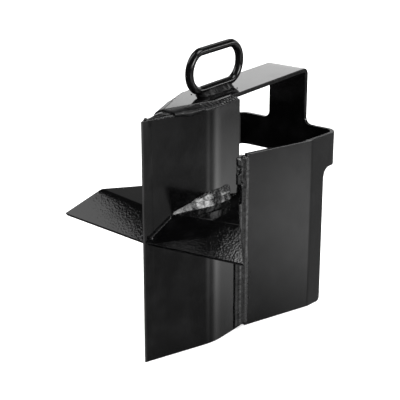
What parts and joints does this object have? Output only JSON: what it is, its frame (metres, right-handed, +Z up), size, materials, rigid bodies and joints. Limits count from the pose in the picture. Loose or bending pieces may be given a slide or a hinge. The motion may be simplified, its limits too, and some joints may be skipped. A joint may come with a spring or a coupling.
{
  "type": "plow anchor",
  "caption": "Upright welded plate-steel plow anchor: V blade with folded flukes, flared box body, strap carry handle and an oblong rode ring.",
  "frame": {"origin": "middle of the bounding box, at the level of the bottom edges the anchor stands on", "axes": "+X towards the nose of the blade, +Y to the anchor's left, +Z up through the rode ring"},
  "size_m": [0.281, 0.24, 0.3316],
  "materials": {
    "black_enamel": "gloss black enamel over mild steel plate",
    "weld_enamel": "black enamel over as-laid weld metal"
  },
  "bodies": {
    "root": {"apex_weld": "weld_enamel", "housing_with_handle": "black_enamel", "strap_tip_weld": "weld_enamel", "tow_ring": "black_enamel", "blade_plate_left": "black_enamel", "blade_plate_right": "black_enamel", "fluke_left": "black_enamel", "fluke_right": "black_enamel", "fluke_weld_front_left": "weld_enamel", "fluke_weld_front_right": "weld_enamel", "fluke_weld_rear_left": "weld_enamel", "fluke_weld_rear_right": "weld_enamel", "fluke_weld_under_left": "weld_enamel", "fluke_weld_under_right": "weld_enamel", "seam_weld_left": "weld_enamel", "seam_weld_right": "weld_enamel", "strap_weld_front_left": "weld_enamel", "strap_weld_front_right": "weld_enamel", "strap_weld_rear_left": "weld_enamel", "strap_weld_rear_right": "weld_enamel", "ring_weld_left": "weld_enamel", "ring_weld_right": "weld_enamel"}
  },
  "joints": []
}
